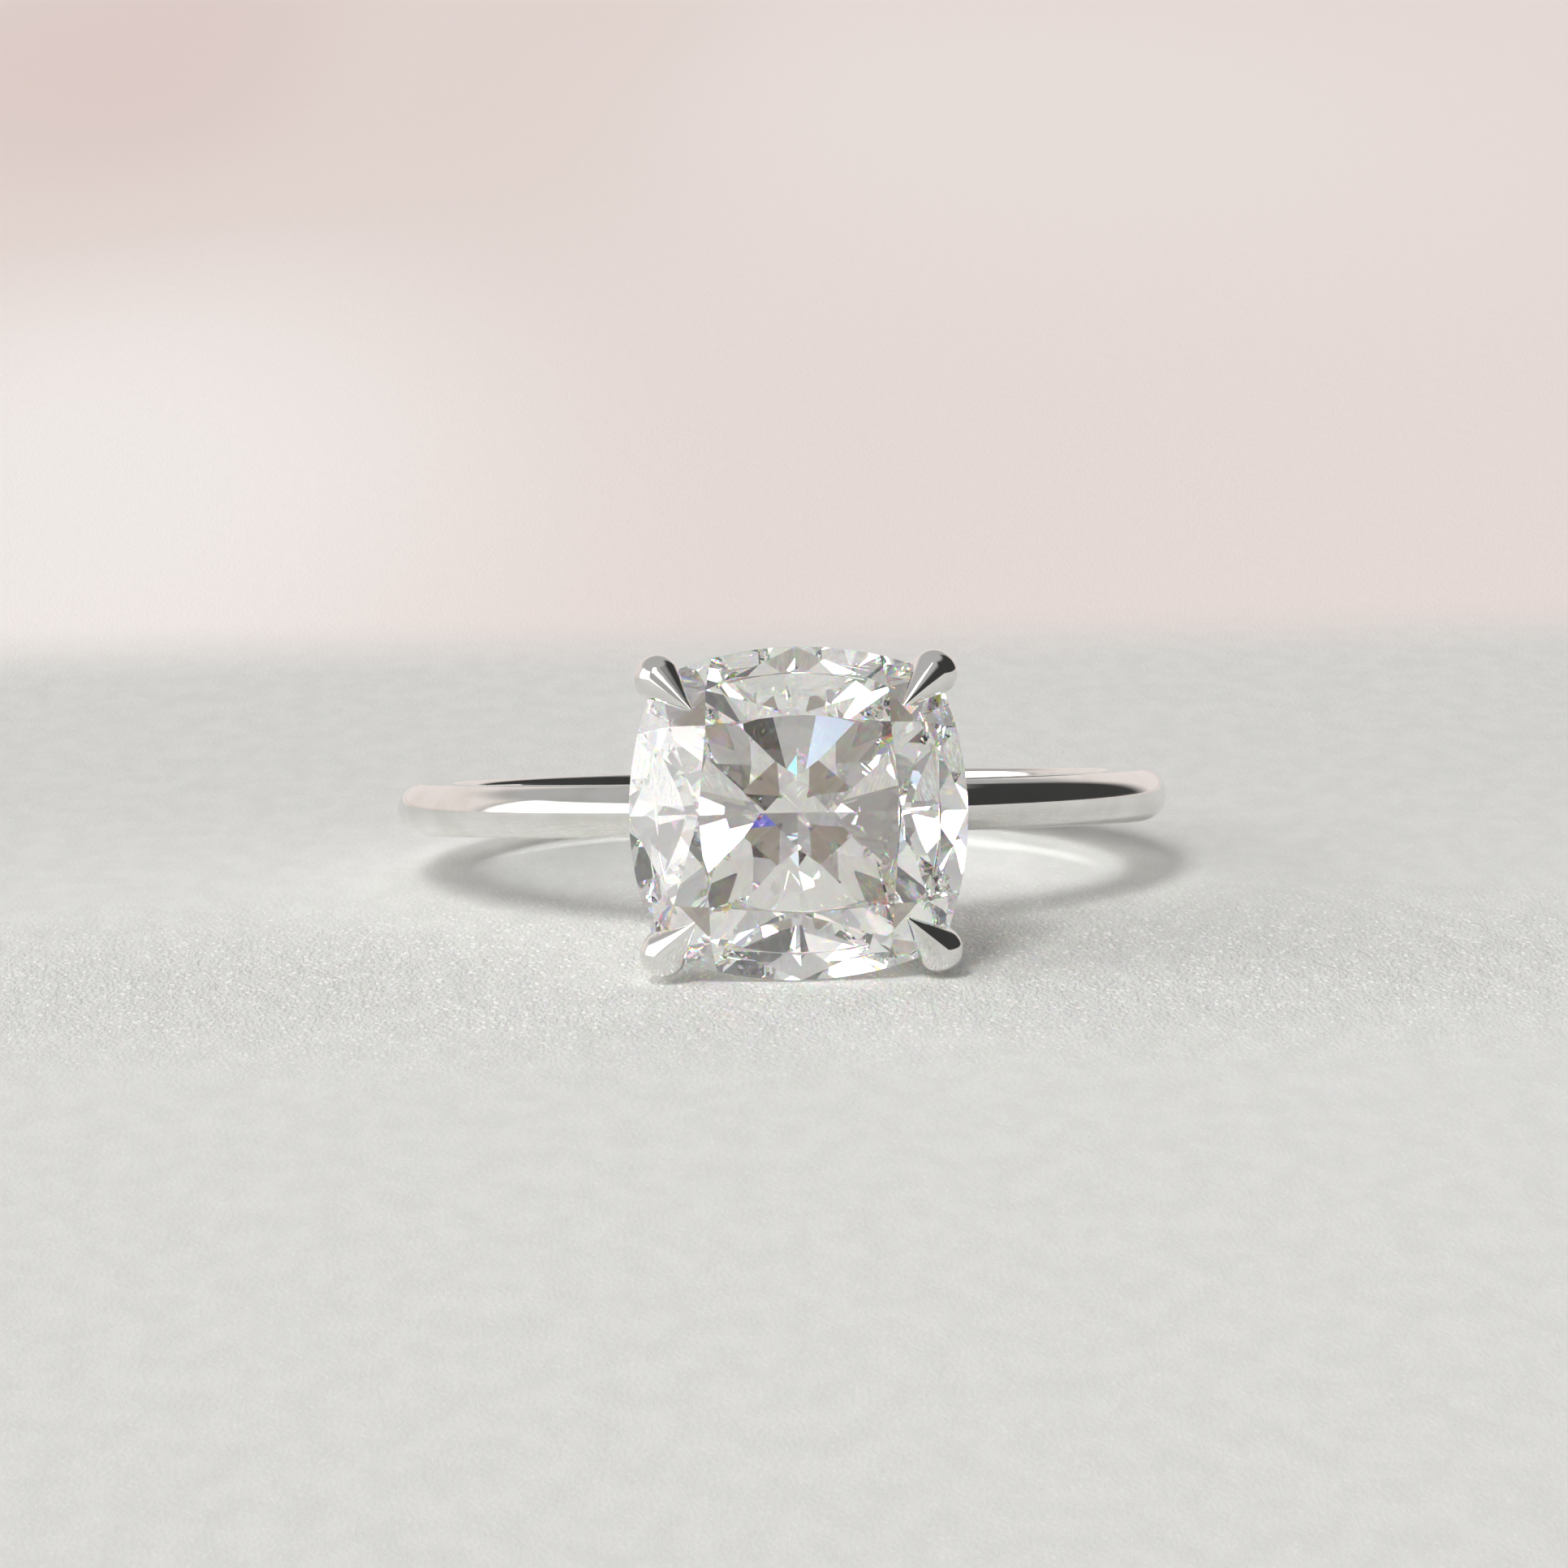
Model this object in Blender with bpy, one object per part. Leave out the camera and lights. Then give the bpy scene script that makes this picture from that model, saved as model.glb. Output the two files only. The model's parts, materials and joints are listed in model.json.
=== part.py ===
"""Engagement ring: a cushion-cut diamond in a four-claw head on a slim half-round band.

Two frames are used. In the ring's frame the finger axis is Z and the stone faces -Y. In the
head's frame w (its Z) points outward from the finger through the stone, u (its X) lies across
the ring and v (its Y) lies along the finger. The finished ring lies on its side, as a ring
that is set down does: on its two lower claws and on the far edge of its band.
"""

import math

import bmesh
import bpy
from mathutils import Matrix, Vector

MM = 0.001
SOLDER_GAP = 0.02  # every size from here to the materials is in millimetres
CUT_THROUGH = 1.0  # how far a cutting tool runs past what it cuts

# Shank
FINGER_HOLE_DIAMETER = 16.9
SHANK_WIDTH = 1.3  # along the finger
SHANK_THICKNESS = 1.5  # from the finger hole to the crown line
SHANK_DOME_RISE = 0.5  # half-round outside, above the flat sides
SHANK_INNER_ROUND = 0.15  # comfort rounding at the finger hole's edges
SHANK_SEGMENTS = 120
DOME_SEGMENTS = 10

# Head base and peg
HEAD_BASE_DIAMETER = 3.5
HEAD_BASE_RISE = 0.4  # top face above the band's crown line
SADDLE_DEPTH = 0.3  # how far the underside straddles the band
HEAD_BASE_BEVEL = 0.12
HEAD_BASE_SIDES = 48
PEG_DIAMETER = 0.7
PEG_RISE = 0.1  # rounded peg end above the head base
PEG_RECESS = 0.15  # other end's setback from the finger hole, for solder
PEG_SIDES = 24
PEG_HOLE_SIDES = 32

# Claws
CLAW_CORNERS = {"upper_right": 1, "upper_left": 3, "lower_left": 5, "lower_right": 7}  # eighths of a turn
CLAW_STEM_DIAMETER = 0.86
CLAW_SHOULDER_DIAMETER = 1.1
CLAW_TIP_DIAMETER = 0.08
CLAW_FOOT_RADIUS = 1.5  # foot's centre to the head's axis
CLAW_FOOT_RISE = 0.15  # foot's centre above the band's crown
CLAW_BITE = 0.31  # depth of the stone corner's seat in the shoulder
CLAW_OVERHANG = 1.0  # how far the tip reaches in over the crown
CLAW_TIP_LIFT = 0.05  # tip's centre above the crown
STEM_LEAN_SHARE = 0.3  # share of the stem's rise over which it leans straight outward
STEM_UPRIGHT_SHARE = 0.55  # share of its rise from which it stands up
STEM_SET_IN = 0.2  # its centre's setback from the shoulder's there
SHOULDER_DROP = 0.5  # shoulder's start below the crown's lower edge
SHOULDER_RISE = 0.2  # shoulder's upper end above it
TIP_BEND_RISE = 0.4  # where the tip bends over, above the crown's lower edge
TIP_BEND_SET_IN = 0.43  # and in from the shoulder
CLAW_SIDES = 16
STEM_STEPS = 12
TIP_STEPS = 12

# Gallery rail
RAIL_WIRE_DIAMETER = 0.6
RAIL_DROP = 1.9  # below the girdle
RAIL_BITE = 0.2  # how deep the rail is let into the claws
RAIL_SIDES = 12
RAIL_STEPS = 64

# Centre stone
STONE_WIDTH = 8.2
STONE_LENGTH = 8.06  # along the finger
SIDE_BULGE_RADIUS = 8.4
CORNER_ROUND_RADIUS = 1.2
TABLE_WIDTH = 4.9
TABLE_CORNER_RADIUS = 3.15  # table's corner to the stone's axis
CROWN_HEIGHT = 1.15
GIRDLE_THICKNESS = 0.26
PAVILION_DEPTH = 4.05
CULET_CLEARANCE = 0.15  # culet above the peg
STAR_FRACTION = 0.38  # star facet's share of the crown's slope
HALVES_AZIMUTH = math.radians(28)  # where the girdle facets beside a corner meet
RIDGE_START = 0.73  # where the paired side facets start, from the culet
GIRDLE_ROW_FRACTION = 0.7  # where the corner girdle facets start, along the mains' edge
FACET_MERGE = 0.002
CUT_TOLERANCE = 1e-5
BLANK_MARGIN = 1.0  # uncut blank above and below the finished stone
GIRDLE_ARC_STEPS = 24  # to a quarter of the outline

# The finished ring, laid on its side
STEEPEST_LIE = math.radians(45)
LIE_HALVINGS = 40

# Worked out from the sizes above, along w in the head's frame
SHANK_OUTER_RADIUS = FINGER_HOLE_DIAMETER / 2 + SHANK_THICKNESS
HEAD_BASE_TOP = SHANK_OUTER_RADIUS + HEAD_BASE_RISE
HEAD_BASE_BOTTOM = SHANK_OUTER_RADIUS - SADDLE_DEPTH
CULET_W = HEAD_BASE_TOP + PEG_RISE + CULET_CLEARANCE
GIRDLE_W = CULET_W + PAVILION_DEPTH
CROWN_W = GIRDLE_W + GIRDLE_THICKNESS

# Finishes: name, colour, metallic and roughness
METAL = ("polished_white_gold", (0.83, 0.82, 0.80, 1.0), 1.0, 0.08)
DIAMOND = ("diamond", (0.97, 0.98, 0.98, 1.0), 0.0, 0.02)
DIAMOND_INDEX = 2.417
CREASE_ANGLE = 35  # degrees between faces from which an edge is sharp


def clear_scene():
    """Removes whatever the file opened with."""
    for thing in list(bpy.data.objects):
        bpy.data.objects.remove(thing)


def finish_material(finish):
    """A Principled material of the named finish, made once."""
    name, colour, metallic, roughness = finish
    material = bpy.data.materials.get(name)
    if material:
        return material
    material = bpy.data.materials.new(name)
    material.use_nodes = True
    shader = material.node_tree.nodes["Principled BSDF"]
    shader.inputs["Base Color"].default_value = colour
    shader.inputs["Metallic"].default_value = metallic
    shader.inputs["Roughness"].default_value = roughness
    if finish is DIAMOND:
        shader.inputs["Transmission Weight"].default_value = 1.0
        shader.inputs["IOR"].default_value = DIAMOND_INDEX
    return material


def add_empty(name, parent, matrix):
    """An empty that carries a frame."""
    empty = bpy.data.objects.new(name, None)
    bpy.context.scene.collection.objects.link(empty)
    empty.parent = parent
    empty.matrix_basis = matrix
    return empty


def add_piece(name, bm, parent, finish, smooth_angle=CREASE_ANGLE):
    """A named solid from a mesh in millimetres."""
    bmesh.ops.recalc_face_normals(bm, faces=bm.faces)
    bmesh.ops.scale(bm, vec=Vector((MM, MM, MM)), verts=bm.verts)
    mesh = bpy.data.meshes.new(name)
    bm.to_mesh(mesh)
    bm.free()
    if smooth_angle:
        mesh.shade_smooth()
        mesh.set_sharp_from_angle(angle=math.radians(smooth_angle))
    piece = bpy.data.objects.new(name, mesh)
    bpy.context.scene.collection.objects.link(piece)
    piece.parent = parent
    piece.data.materials.append(finish_material(finish))
    return piece


def add_cutter(name, bm, parent):
    """A guide solid that only cuts others."""
    cutter = add_piece(name, bm, parent, METAL, smooth_angle=0)
    cutter.hide_render = True
    cutter.display_type = "WIRE"
    return cutter


def cut_with(piece, cutter):
    """Cuts one piece with another's guide."""
    cut = piece.modifiers.new(f"cut_by_{cutter.name}", "BOOLEAN")
    cut.operation = "DIFFERENCE"
    cut.solver = "EXACT"
    cut.object = cutter


def turned(profile, segments):
    """A closed profile of (radius, height) points, turned once about Z."""
    bm = bmesh.new()
    outline = [bm.verts.new((radius, 0, height)) for radius, height in profile]
    edges = [bm.edges.new(pair) for pair in zip(outline, outline[1:] + outline[:1])]
    bmesh.ops.spin(
        bm, geom=outline + edges, cent=(0, 0, 0), axis=(0, 0, 1), angle=math.tau,
        steps=segments, use_merge=True,
    )
    return bm


def shank_profile(grow):
    """The band's D-shaped section: flat inside and sides, half-round outside."""
    half = SHANK_WIDTH / 2 + grow
    inner = FINGER_HOLE_DIAMETER / 2 - grow
    outer = SHANK_OUTER_RADIUS + grow
    dome_radius = (half**2 + SHANK_DOME_RISE**2) / (2 * SHANK_DOME_RISE)
    sweep = math.asin(half / dome_radius)
    dome = []
    for step in range(DOME_SEGMENTS + 1):
        angle = sweep * (1 - 2 * step / DOME_SEGMENTS)
        dome.append((outer - dome_radius * (1 - math.cos(angle)), dome_radius * math.sin(angle)))
    edge = half - SHANK_INNER_ROUND
    rounded = inner + SHANK_INNER_ROUND
    inside = [(rounded, -half), (inner, -edge), (inner, edge), (rounded, half)]
    return dome + inside


def cylinder_between(radius, bottom, top, segments):
    """A cylinder about Z between two heights."""
    bm = bmesh.new()
    middle = Matrix.Translation((0, 0, (bottom + top) / 2))
    bmesh.ops.create_cone(
        bm, cap_ends=True, segments=segments, radius1=radius, radius2=radius,
        depth=top - bottom, matrix=middle,
    )
    return bm


def rounded_top(bm, top, width, segments=3):
    """Rounds the rim at the given height."""
    rim = [e for e in bm.edges if all(abs(v.co.z - top) < FACET_MERGE for v in e.verts)]
    bmesh.ops.bevel(
        bm, geom=rim, offset=width, segments=segments, profile=0.5, affect="EDGES", material=-1,
    )


def bezier(points, t):
    """A point on a cubic Bezier curve."""
    a, b, c, d = (Vector(p) for p in points)
    s = 1 - t
    return a * s**3 + b * 3 * s**2 * t + c * 3 * s * t**2 + d * t**3


def girdle_point(azimuth, height=0.0, grow=0.0):
    """The point of the cushion outline in a direction: bowed sides, rounded corners."""
    half = STONE_WIDTH / 2 + grow
    bow = SIDE_BULGE_RADIUS + grow
    corner = CORNER_ROUND_RADIUS + grow
    offset = bow - half
    # The corner arc's centre lies on the diagonal, where it touches both bowed sides
    reach = bow - corner
    diagonal = (-offset + math.sqrt(2 * reach**2 - offset**2)) / 2
    touch = Vector((diagonal + offset, diagonal)).normalized() * bow - Vector((offset, 0))
    octant = azimuth % (math.pi / 2)
    folded = min(octant, math.pi / 2 - octant)
    heading = Vector((math.cos(folded), math.sin(folded)))
    if folded < math.atan2(touch.y, touch.x):
        centre, radius = Vector((-offset, 0)), bow
    else:
        centre, radius = Vector((diagonal, diagonal)), corner
    along = heading.dot(centre)
    distance = along + math.sqrt(along**2 + radius**2 - centre.length_squared)
    squash = STONE_LENGTH / STONE_WIDTH
    return Vector((distance * math.cos(azimuth), distance * math.sin(azimuth) * squash, height))


def plane_through(a, b, c):
    """A point and the normal of a facet, pointing away from the stone's axis."""
    normal = (b - a).cross(c - a).normalized()
    middle = (a + b + c) / 3
    outward = Vector((middle.x, middle.y, middle.z - GIRDLE_THICKNESS / 2))
    return a, normal if normal.dot(outward) > 0 else -normal


def meet_on_line(start, end, height):
    """Where a line reaches a height."""
    return start.lerp(end, (height - start.z) / (end.z - start.z))


def crown_facets(quadrant, side):
    """Bezels, star and girdle facets of one eighth of the crown."""
    base = GIRDLE_THICKNESS
    table = base + CROWN_HEIGHT
    squash = STONE_LENGTH / STONE_WIDTH
    axis = quadrant * math.pi / 2
    corner = axis + side * math.pi / 4

    def at(azimuth, radius, height):
        return Vector((radius * math.cos(azimuth), radius * math.sin(azimuth) * squash, height))

    side_low = girdle_point(axis, base)
    side_top = at(axis, TABLE_WIDTH / 2, table)
    corner_low = girdle_point(corner, base)
    corner_top = at(corner, TABLE_CORNER_RADIUS, table)
    halves_low = girdle_point(axis + side * HALVES_AZIMUTH, base)
    side_bezel = plane_through(side_low, side_top, side_low + at(axis + math.pi / 2, 1, 0))
    corner_bezel = plane_through(corner_low, corner_top, corner_low + corner_tangent(corner))
    ridge = ridge_between(side_bezel, corner_bezel)
    star_low = meet_on_line(*ridge, table - STAR_FRACTION * CROWN_HEIGHT)
    return [
        side_bezel,
        corner_bezel,
        plane_through(side_top, corner_top, star_low),
        plane_through(side_low, halves_low, star_low),
        plane_through(halves_low, corner_low, star_low),
    ]


def corner_tangent(azimuth):
    """The outline's direction at one of its corners."""
    step = math.radians(1)
    return girdle_point(azimuth + step) - girdle_point(azimuth - step)


def ridge_between(first, second):
    """Two points of the line where two facets meet."""
    direction = first[1].cross(second[1])
    system = Matrix((first[1], second[1], direction)).inverted()
    point = system @ Vector((first[0].dot(first[1]), second[0].dot(second[1]), 0))
    return point, point + direction


def pavilion_facets(quadrant, side):
    """Main, side and girdle facets of one eighth of the pavilion."""
    axis = quadrant * math.pi / 2
    corner = axis + side * math.pi / 4
    culet = Vector((0, 0, -PAVILION_DEPTH))
    corner_high = girdle_point(corner)
    side_high = girdle_point(axis)
    halves_high = girdle_point(axis + side * HALVES_AZIMUTH)
    main = plane_through(culet, corner_high, corner_high + corner_tangent(corner))
    start = Vector((side_high.x, side_high.y, 0)).normalized() * RIDGE_START
    start.z = culet.z - start.dot(main[1]) / main[1].z
    paired = plane_through(start, side_high, halves_high)
    ridge = ridge_between(main, paired)
    row_start = meet_on_line(*ridge, -PAVILION_DEPTH * (1 - GIRDLE_ROW_FRACTION))
    return [main, paired, plane_through(row_start, halves_high, corner_high)]


def facet_planes():
    """Every facet of the stone, in the order of cutting."""
    planes = [(Vector((0, 0, GIRDLE_THICKNESS + CROWN_HEIGHT)), Vector((0, 0, 1)))]
    for quadrant in range(4):
        for side in (-1, 1):
            planes += crown_facets(quadrant, side)
            planes += pavilion_facets(quadrant, side)
    return planes


def stone_blank(grow):
    """The girdled blank before any facet is cut: the cushion outline, extruded."""
    bm = bmesh.new()
    steps = 4 * GIRDLE_ARC_STEPS
    bottom = -PAVILION_DEPTH - BLANK_MARGIN
    outline = [
        bm.verts.new(girdle_point(math.tau * step / steps, bottom, grow)) for step in range(steps)
    ]
    face = bm.faces.new(outline)
    grown = bmesh.ops.extrude_face_region(bm, geom=[face])["geom"]
    height = PAVILION_DEPTH + GIRDLE_THICKNESS + CROWN_HEIGHT + 2 * BLANK_MARGIN
    moved = [v for v in grown if isinstance(v, bmesh.types.BMVert)]
    bmesh.ops.translate(bm, verts=moved, vec=(0, 0, height))
    bmesh.ops.recalc_face_normals(bm, faces=bm.faces)
    return bm


def cut_stone(grow=0.0):
    """The cushion brilliant, cut one plane at a time; grow sets every facet outward."""
    bm = stone_blank(grow)
    for point, normal in facet_planes():
        bmesh.ops.bisect_plane(
            bm, geom=bm.verts[:] + bm.edges[:] + bm.faces[:], dist=CUT_TOLERANCE,
            plane_co=point + normal * grow, plane_no=normal, clear_outer=True,
        )
        bmesh.ops.holes_fill(bm, edges=[e for e in bm.edges if e.is_boundary], sides=0)
    bmesh.ops.remove_doubles(bm, verts=bm.verts, dist=FACET_MERGE)
    bmesh.ops.translate(bm, verts=bm.verts, vec=(0, 0, GIRDLE_W))
    return bm


def crown_height_at(distance):
    """The crown's height on the diagonal, at a distance from the stone's axis."""
    corner = girdle_point(math.pi / 4).length
    slope = CROWN_HEIGHT / (corner - TABLE_CORNER_RADIUS)
    return CROWN_W + (corner - distance) * slope


def claw_path():
    """Centre points (radius, w) and thickness of one claw, from its foot to its tip."""
    corner = girdle_point(math.pi / 4).length
    shoulder = CLAW_SHOULDER_DIAMETER / 2
    spread = corner + shoulder - CLAW_BITE
    shoulder_w = CROWN_W - SHOULDER_DROP
    foot_w = SHANK_OUTER_RADIUS + CLAW_FOOT_RISE
    rise = shoulder_w - foot_w
    lean = STEM_LEAN_SHARE * (spread - CLAW_FOOT_RADIUS)
    stem = [
        (CLAW_FOOT_RADIUS, foot_w),
        (CLAW_FOOT_RADIUS + lean, foot_w + STEM_LEAN_SHARE * rise),
        (spread - STEM_SET_IN, foot_w + STEM_UPRIGHT_SHARE * rise),
        (spread, shoulder_w),
    ]
    tip_radius = corner - CLAW_OVERHANG
    tip = [
        (spread, shoulder_w),
        (spread, CROWN_W + SHOULDER_RISE),
        (spread - TIP_BEND_SET_IN, CROWN_W + TIP_BEND_RISE),
        (tip_radius, crown_height_at(tip_radius) + CLAW_TIP_LIFT),
    ]
    path = []
    for step in range(STEM_STEPS):
        t = step / STEM_STEPS
        swell = t * t * (3 - 2 * t)
        width = CLAW_STEM_DIAMETER + swell * (CLAW_SHOULDER_DIAMETER - CLAW_STEM_DIAMETER)
        path.append((bezier(stem, t), width / 2))
    for step in range(TIP_STEPS + 1):
        t = step / TIP_STEPS
        width = CLAW_TIP_DIAMETER + (CLAW_SHOULDER_DIAMETER - CLAW_TIP_DIAMETER) * (1 - t**3)
        path.append((bezier(tip, t), width / 2))
    return path


def swept_tube(stations, across, sides, closed=False):
    """A round tube through (centre, radius) stations of a flat curve; across is its normal."""
    bm = bmesh.new()
    loops = []
    last = len(stations) - 1
    for index, (centre, radius) in enumerate(stations):
        ahead = stations[(index + 1) % len(stations) if closed else min(index + 1, last)][0]
        behind = stations[index - 1 if closed else max(index - 1, 0)][0]
        heading = (ahead - behind).normalized()
        turn = Matrix((across, heading.cross(across), heading)).transposed().to_4x4()
        matrix = Matrix.Translation(centre) @ turn
        ring = bmesh.ops.create_circle(bm, segments=sides, radius=radius, matrix=matrix)
        loops.append(list(dict.fromkeys(edge for vert in ring["verts"] for edge in vert.link_edges)))
    pairs = list(zip(loops, loops[1:]))
    if closed:
        pairs.append((loops[-1], loops[0]))
    for near, far in pairs:
        bmesh.ops.bridge_loops(bm, edges=near + far)
    if not closed:
        for end in (loops[0], loops[-1]):
            bmesh.ops.holes_fill(bm, edges=end, sides=0)
    return bm


def claw_solid(azimuth, grow=0.0):
    """One claw: round wire that thickens to a shoulder and draws out to a pointed tip.

    A grown claw also reaches further down at its foot, so its notch has a gap on every side.
    """
    stations = [(Vector((c.x, 0, c.y)), radius + grow) for c, radius in claw_path()]
    foot, foot_radius = stations[0]
    upward = (stations[1][0] - foot).normalized()
    stations[0] = (foot - upward * grow, foot_radius)
    bm = swept_tube(stations, Vector((0, 1, 0)), CLAW_SIDES)
    bmesh.ops.rotate(bm, verts=bm.verts, matrix=Matrix.Rotation(azimuth, 3, "Z"))
    return bm


def claw_inner_face(height):
    """The claw's distance from the head's axis at a height on its stem."""
    path = claw_path()
    for (low, low_radius), (high, high_radius) in zip(path, path[1:]):
        if low.y <= height <= high.y:
            share = (height - low.y) / (high.y - low.y)
            radius = low_radius + share * (high_radius - low_radius)
            lean = (high - low).normalized().y
            return low.lerp(high, share).x - radius / lean
    return path[0][0].x


def build_shank(ring_frame, head_frame):
    """The band, with a hole for the peg under the head."""
    shank = add_piece("shank", turned(shank_profile(0), SHANK_SEGMENTS), ring_frame, METAL)
    hole_radius = PEG_DIAMETER / 2 + SOLDER_GAP
    bottom = FINGER_HOLE_DIAMETER / 2 - CUT_THROUGH
    top = SHANK_OUTER_RADIUS + CUT_THROUGH
    hole = cylinder_between(hole_radius, bottom, top, PEG_HOLE_SIDES)
    cut_with(shank, add_cutter("peg_hole_in_shank", hole, head_frame))
    return shank


def build_head_base(ring_frame, head_frame, claw_cutters):
    """The seat of the head: a disc saddled over the band and notched for the claws."""
    radius = HEAD_BASE_DIAMETER / 2
    disc = cylinder_between(radius, HEAD_BASE_BOTTOM, HEAD_BASE_TOP, HEAD_BASE_SIDES)
    rounded_top(disc, HEAD_BASE_TOP, HEAD_BASE_BEVEL)
    base = add_piece("head_base", disc, head_frame, METAL)
    saddle = turned(shank_profile(SOLDER_GAP), SHANK_SEGMENTS)
    cut_with(base, add_cutter("saddle_for_band", saddle, ring_frame))
    hole_radius = PEG_DIAMETER / 2 + SOLDER_GAP
    bottom = HEAD_BASE_BOTTOM - CUT_THROUGH
    top = HEAD_BASE_TOP + CUT_THROUGH
    hole = cylinder_between(hole_radius, bottom, top, PEG_HOLE_SIDES)
    cut_with(base, add_cutter("peg_hole_in_base", hole, head_frame))
    for cutter in claw_cutters:
        cut_with(base, cutter)
    return base


def build_peg(head_frame):
    """The post through the head base and the band, flush with the finger hole."""
    bottom = FINGER_HOLE_DIAMETER / 2 + PEG_RECESS
    top = HEAD_BASE_TOP + PEG_RISE
    post = cylinder_between(PEG_DIAMETER / 2, bottom, top, PEG_SIDES)
    rounded_top(post, top, PEG_RISE)
    return add_piece("head_peg", post, head_frame, METAL)


def build_gallery_rail(head_frame, claw_cutters):
    """A cushion-shaped ring of round wire under the girdle, let into the four claws."""
    height = GIRDLE_W - RAIL_DROP
    wire = RAIL_WIRE_DIAMETER / 2
    corner = claw_inner_face(height) + RAIL_BITE - wire
    share = corner / girdle_point(math.pi / 4).length
    stations = []
    for step in range(RAIL_STEPS):
        point = girdle_point(math.tau * step / RAIL_STEPS) * share
        point.z = height
        stations.append((point, wire))
    bm = swept_tube(stations, Vector((0, 0, 1)), RAIL_SIDES, closed=True)
    rail = add_piece("gallery_rail", bm, head_frame, METAL)
    for cutter in claw_cutters:
        cut_with(rail, cutter)
    return rail


def build_stone(head_frame):
    """The cushion-cut diamond."""
    return add_piece("centre_stone", cut_stone(), head_frame, DIAMOND, smooth_angle=0)


def build_claws(head_frame, stone_cutter):
    """The four claws, each notched for its corner of the stone."""
    claws = []
    for place, eighths in CLAW_CORNERS.items():
        claw = add_piece(f"claw_{place}", claw_solid(eighths * math.pi / 4), head_frame, METAL)
        cut_with(claw, stone_cutter)
        claws.append(claw)
    return claws


def points_in(piece, frame):
    """A piece's corners in a frame."""
    return [frame @ vert.co for vert in piece.data.vertices]


def lying_matrix(head_turn, shank, head_pieces):
    """The pose of a ring set down on its side, centred over the origin on z = 0."""
    front = [point for piece in head_pieces for point in points_in(piece, head_turn)]
    back = points_in(shank, Matrix.Identity(4))
    low, high = 0.0, STEEPEST_LIE
    for _ in range(LIE_HALVINGS):
        tilt = (low + high) / 2
        turn = Matrix.Rotation(-tilt, 4, "X")
        if min((turn @ p).z for p in front) < min((turn @ p).z for p in back):
            low = tilt
        else:
            high = tilt
    turned_points = [turn @ p for p in front + back]
    lowest = min(p.z for p in turned_points)
    middle = (min(p.y for p in turned_points) + max(p.y for p in turned_points)) / 2
    return Matrix.Translation((0, -middle, -lowest)) @ turn


def main():
    """Builds the ring in its own frame, then lays it down."""
    clear_scene()
    ring_frame = add_empty("ring_frame", None, Matrix.Identity(4))
    head_turn = Matrix.Rotation(math.pi / 2, 4, "X")
    head_frame = add_empty("head_frame", ring_frame, head_turn)
    stone = build_stone(head_frame)
    stone_cutter = add_cutter("seat_for_stone", cut_stone(SOLDER_GAP), head_frame)
    claws = build_claws(head_frame, stone_cutter)
    claw_cutters = []
    for place, eighths in CLAW_CORNERS.items():
        notch = claw_solid(eighths * math.pi / 4, SOLDER_GAP)
        claw_cutters.append(add_cutter(f"notch_for_claw_{place}", notch, head_frame))
    shank = build_shank(ring_frame, head_frame)
    build_head_base(ring_frame, head_frame, claw_cutters)
    build_peg(head_frame)
    build_gallery_rail(head_frame, claw_cutters)
    ring_frame.matrix_basis = lying_matrix(head_turn, shank, [stone, *claws])


main()
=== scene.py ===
"""Engagement ring, finished: mirror-polished white gold and a cushion-cut diamond.

Every piece is modelled in millimetres in one of the ring's two frames, and then laid where the
frame says the ring lies. In the ring's frame the finger axis is Z and the stone faces -Y. In the
head's frame Z points outward from the finger through the stone, X lies across the ring and Y
lies along the finger.
"""

import json
import logging
import math
from dataclasses import dataclass
from enum import Enum

import bmesh
import bpy
from mathutils import Matrix, Quaternion, Vector


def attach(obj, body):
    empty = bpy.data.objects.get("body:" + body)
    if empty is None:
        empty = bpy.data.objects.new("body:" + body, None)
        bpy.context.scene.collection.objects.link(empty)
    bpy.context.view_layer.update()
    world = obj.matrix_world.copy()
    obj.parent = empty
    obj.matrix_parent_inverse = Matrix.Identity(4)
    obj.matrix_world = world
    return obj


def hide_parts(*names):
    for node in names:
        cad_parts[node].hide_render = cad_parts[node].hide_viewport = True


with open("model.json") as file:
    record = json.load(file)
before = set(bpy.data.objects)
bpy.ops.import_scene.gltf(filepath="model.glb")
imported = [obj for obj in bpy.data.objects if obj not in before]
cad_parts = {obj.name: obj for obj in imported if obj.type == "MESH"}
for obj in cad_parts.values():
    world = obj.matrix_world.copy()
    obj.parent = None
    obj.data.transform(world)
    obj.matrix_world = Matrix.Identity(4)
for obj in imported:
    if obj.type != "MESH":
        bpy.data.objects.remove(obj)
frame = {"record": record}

MM = 0.001
BODY = "root"
TOUCH_GAP = 0.004  # millimetres between pieces that touch
CUT_THROUGH = 1.0  # millimetres that a cutting tool runs past what it cuts
MERGE = 0.001  # millimetres, for corners that meet
CUT_TOLERANCE = 1e-5  # millimetres, for a corner that lies on a cut
CLAW_FOOT_RISE = 0.15  # millimetres from the band's crown to the middle of a claw's foot
ROUND_CREASE = 30.0  # degrees between faces from which an edge of a turned piece is sharp
WIRE_CREASE = 40.0  # the same, for a piece of wire

LOG = logging.getLogger("ring")


class Corner(Enum):
    """The four corners of the stone, as eighths of a turn about the head's axis."""

    UPPER_RIGHT = 1
    UPPER_LEFT = 3
    LOWER_LEFT = 5
    LOWER_RIGHT = 7

    @property
    def azimuth(self) -> float:
        """The corner's direction, in radians."""
        return self.value * math.pi / 4

    @property
    def node(self) -> str:
        """The frame's node for the claw at this corner."""
        return f"claw_{self.name.lower()}"


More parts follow.
